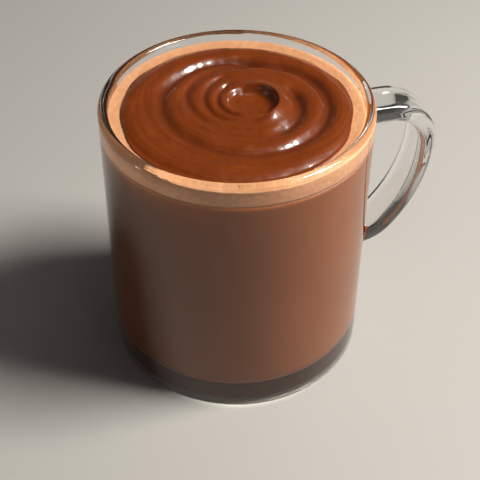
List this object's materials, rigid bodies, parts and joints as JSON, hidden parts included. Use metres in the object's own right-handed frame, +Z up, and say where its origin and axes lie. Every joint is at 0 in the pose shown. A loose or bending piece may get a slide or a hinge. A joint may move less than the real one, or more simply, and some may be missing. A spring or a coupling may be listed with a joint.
{
  "type": "hot chocolate",
  "caption": "Clear glass mug with a strap handle, filled with hot chocolate under a layer of milk foam and a spiral of glossy chocolate cream.",
  "frame": {"origin": "on the mug's axis, in the plane that its foot stands on", "axes": "+Z up along the mug's axis, +X from the axis towards the handle, +Y to the left seen from the handle"},
  "size_m": [0.1016, 0.08, 0.0882],
  "materials": {
    "glass": "clear, smooth, pressed",
    "drink": "milky brown liquid behind glass",
    "foam": "fine milk foam, soft and matt",
    "cream": "thick glossy chocolate cream"
  },
  "bodies": {
    "root": {"mug": "glass", "drink": "drink", "foam": "foam", "swirl": "cream"}
  },
  "joints": []
}
